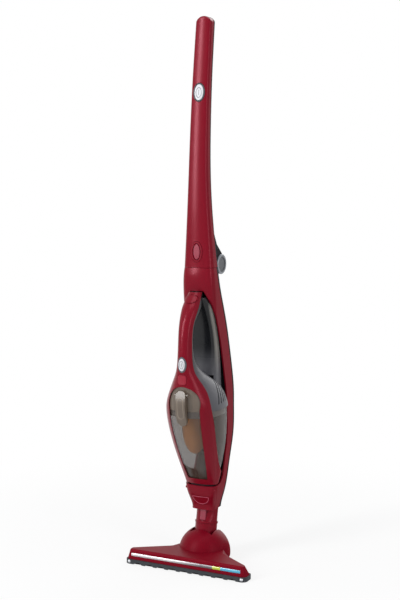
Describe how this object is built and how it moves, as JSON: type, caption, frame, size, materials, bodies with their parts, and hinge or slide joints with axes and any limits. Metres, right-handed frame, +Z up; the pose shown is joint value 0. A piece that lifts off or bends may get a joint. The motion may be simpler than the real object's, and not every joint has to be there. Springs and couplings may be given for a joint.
{
  "type": "stick vacuum cleaner",
  "caption": "Upright cordless stick vacuum cleaner: wide floor head, tilting and swivelling neck, folding handle and a tip-out hand unit with a clear dust cup.",
  "frame": {"origin": "on the floor, on the sole of the head straight under the tilt axis", "axes": "+Z up, -Y to the front edge of the head, +X to the right seen from the front"},
  "size_m": [0.2574, 0.1863, 1.05],
  "materials": {
    "red_gloss": "gloss metallic red ABS",
    "red_clear": "red translucent plastic",
    "black_plastic": "fine textured black ABS",
    "grey_plastic": "dark grey ABS",
    "silver_trim": "silver coated plastic",
    "lime_trim": "yellow green plastic",
    "cyan_trim": "cyan plastic",
    "bumper_rubber": "soft grey rubber",
    "smoke": "smoke brown polycarbonate",
    "clear": "clear polycarbonate",
    "filter_orange": "orange filter cloth",
    "bristle": "nylon bristle strip",
    "steel": "turned steel",
    "motor_metal": "motor can"
  },
  "bodies": {
    "head": {"head_cover": "red_gloss", "head_base": "black_plastic", "front_bumper": "bumper_rubber", "trim_strip": "silver_trim", "trim_lime": "lime_trim", "trim_cyan": "cyan_trim", "bearing_left": "grey_plastic", "bearing_right": "grey_plastic", "head_motor": "motor_metal", "drive_belt": "bumper_rubber", "tilt_pin_left": "steel", "tilt_pin_right": "steel"},
    "brush": {"brush_roll": "grey_plastic", "brush_strips": "bristle"},
    "pulley": {"motor_pulley": "steel"},
    "wheel_l": {"wheel_left": "grey_plastic"},
    "wheel_r": {"wheel_right": "grey_plastic"},
    "roller_l": {"roller_left": "silver_trim"},
    "roller_r": {"roller_right": "silver_trim"},
    "knuckle": {"tilt_knuckle": "red_gloss"},
    "stick": {"neck_tube": "red_gloss", "lower_body": "red_gloss", "back_cover": "black_plastic", "cradle_pin": "steel", "fold_pin": "steel"},
    "neck_press": {"neck_button": "red_gloss"},
    "collar_press": {"collar_button": "red_gloss"},
    "handle": {"handle_front": "red_gloss", "handle_rear": "black_plastic", "hinge_cap_left": "grey_plastic", "hinge_cap_right": "grey_plastic", "switch_bezel": "grey_plastic", "handle_bezel": "red_gloss"},
    "power": {"power_switch": "silver_trim"},
    "handle_press": {"handle_button": "red_gloss"},
    "hand_unit": {"hand_cover": "red_gloss", "hand_body": "grey_plastic", "hand_switch_bezel": "grey_plastic", "dust_lid": "smoke", "latch_pin": "steel", "dust_cup": "clear", "filter_frame": "grey_plastic", "filter_cone": "filter_orange", "inlet_duct": "grey_plastic", "suction_motor": "motor_metal", "motor_mount": "bumper_rubber", "battery_pack": "black_plastic"},
    "hand_power": {"hand_switch": "silver_trim"},
    "tab_press": {"dust_tab": "red_clear"},
    "unit_release": {"hand_release": "red_gloss"},
    "latch": {"latch_tab": "smoke"},
    "flap": {"inlet_flap": "bumper_rubber"},
    "fan_wheel": {"fan": "grey_plastic"}
  },
  "joints": [
    {"name": "head_tilt", "type": "hinge", "parent": "head", "child": "knuckle", "pos_m": [0, 0, 0.03], "axis": [-1, 0, 0], "range_deg": [0, 65]},
    {"name": "neck_swivel", "type": "hinge", "parent": "knuckle", "child": "stick", "pos_m": [0, 0, 0.03], "axis": [0, 0.1908, 0.9816], "range_deg": [-60, 60]},
    {"name": "brush_spin", "type": "hinge", "parent": "head", "child": "brush", "pos_m": [0, -0.073, 0.013], "axis": [1, 0, 0], "continuous": true},
    {"name": "pulley_spin", "type": "hinge", "parent": "head", "child": "pulley", "pos_m": [0, -0.046, 0.015], "axis": [1, 0, 0], "continuous": true},
    {"name": "wheel_left_spin", "type": "hinge", "parent": "head", "child": "wheel_l", "pos_m": [-0.0325, 0.018, 0.0073], "axis": [1, 0, 0], "continuous": true},
    {"name": "wheel_right_spin", "type": "hinge", "parent": "head", "child": "wheel_r", "pos_m": [0.0325, 0.018, 0.0073], "axis": [1, 0, 0], "continuous": true},
    {"name": "roller_left_spin", "type": "hinge", "parent": "head", "child": "roller_l", "pos_m": [-0.119, -0.0883, 0.0055], "axis": [0, 0, 1], "continuous": true},
    {"name": "roller_right_spin", "type": "hinge", "parent": "head", "child": "roller_r", "pos_m": [0.119, -0.0883, 0.0055], "axis": [0, 0, 1], "continuous": true},
    {"name": "neck_button_press", "type": "slide", "parent": "stick", "child": "neck_press", "axis": [0, 0.9816, -0.1908], "range_m": [0, 0.0018], "stiffness_N_per_m": 400},
    {"name": "collar_button_press", "type": "slide", "parent": "stick", "child": "collar_press", "axis": [0, 1, 0], "range_m": [0, 0.0015], "stiffness_N_per_m": 400},
    {"name": "handle_fold", "type": "hinge", "parent": "stick", "child": "handle", "pos_m": [0, 0.027, 0.583], "axis": [-1, 0, 0], "range_deg": [0, 170]},
    {"name": "power_switch_press", "type": "slide", "parent": "handle", "child": "power", "axis": [0, 0.9934, -0.1149], "range_m": [0, 0.0015], "stiffness_N_per_m": 400},
    {"name": "handle_button_press", "type": "slide", "parent": "handle", "child": "handle_press", "axis": [0, 1, 0], "range_m": [0, 0.0018], "stiffness_N_per_m": 400},
    {"name": "hand_unit_tip", "type": "hinge", "parent": "stick", "child": "hand_unit", "pos_m": [0, -0.017, 0.147], "axis": [1, 0, 0], "range_deg": [0, 20]},
    {"name": "hand_switch_press", "type": "slide", "parent": "hand_unit", "child": "hand_power", "axis": [0, 1, 0], "range_m": [0, 0.0015], "stiffness_N_per_m": 400},
    {"name": "dust_tab_press", "type": "slide", "parent": "hand_unit", "child": "tab_press", "axis": [0, 1, 0], "range_m": [0, 0.0015], "stiffness_N_per_m": 400},
    {"name": "hand_release_press", "type": "slide", "parent": "hand_unit", "child": "unit_release", "axis": [0, 1, 0], "range_m": [0, 0.002], "stiffness_N_per_m": 400},
    {"name": "latch_swing", "type": "hinge", "parent": "hand_unit", "child": "latch", "pos_m": [0, -0.1, 0.346], "axis": [-1, 0, 0], "range_deg": [0, 20], "stiffness_Nm_per_rad": 0.02},
    {"name": "flap_swing", "type": "hinge", "parent": "hand_unit", "child": "flap", "pos_m": [0, 0.0084, 0.2154], "axis": [-1, 0, 0], "range_deg": [0, 60]},
    {"name": "fan_spin", "type": "hinge", "parent": "hand_unit", "child": "fan_wheel", "pos_m": [0, -0.024, 0.322], "axis": [0, 0, 1], "continuous": true}
  ],
  "couplings": [
    {"joint": "pulley_spin", "follows": "brush_spin", "ratio": 1.4444}
  ]
}
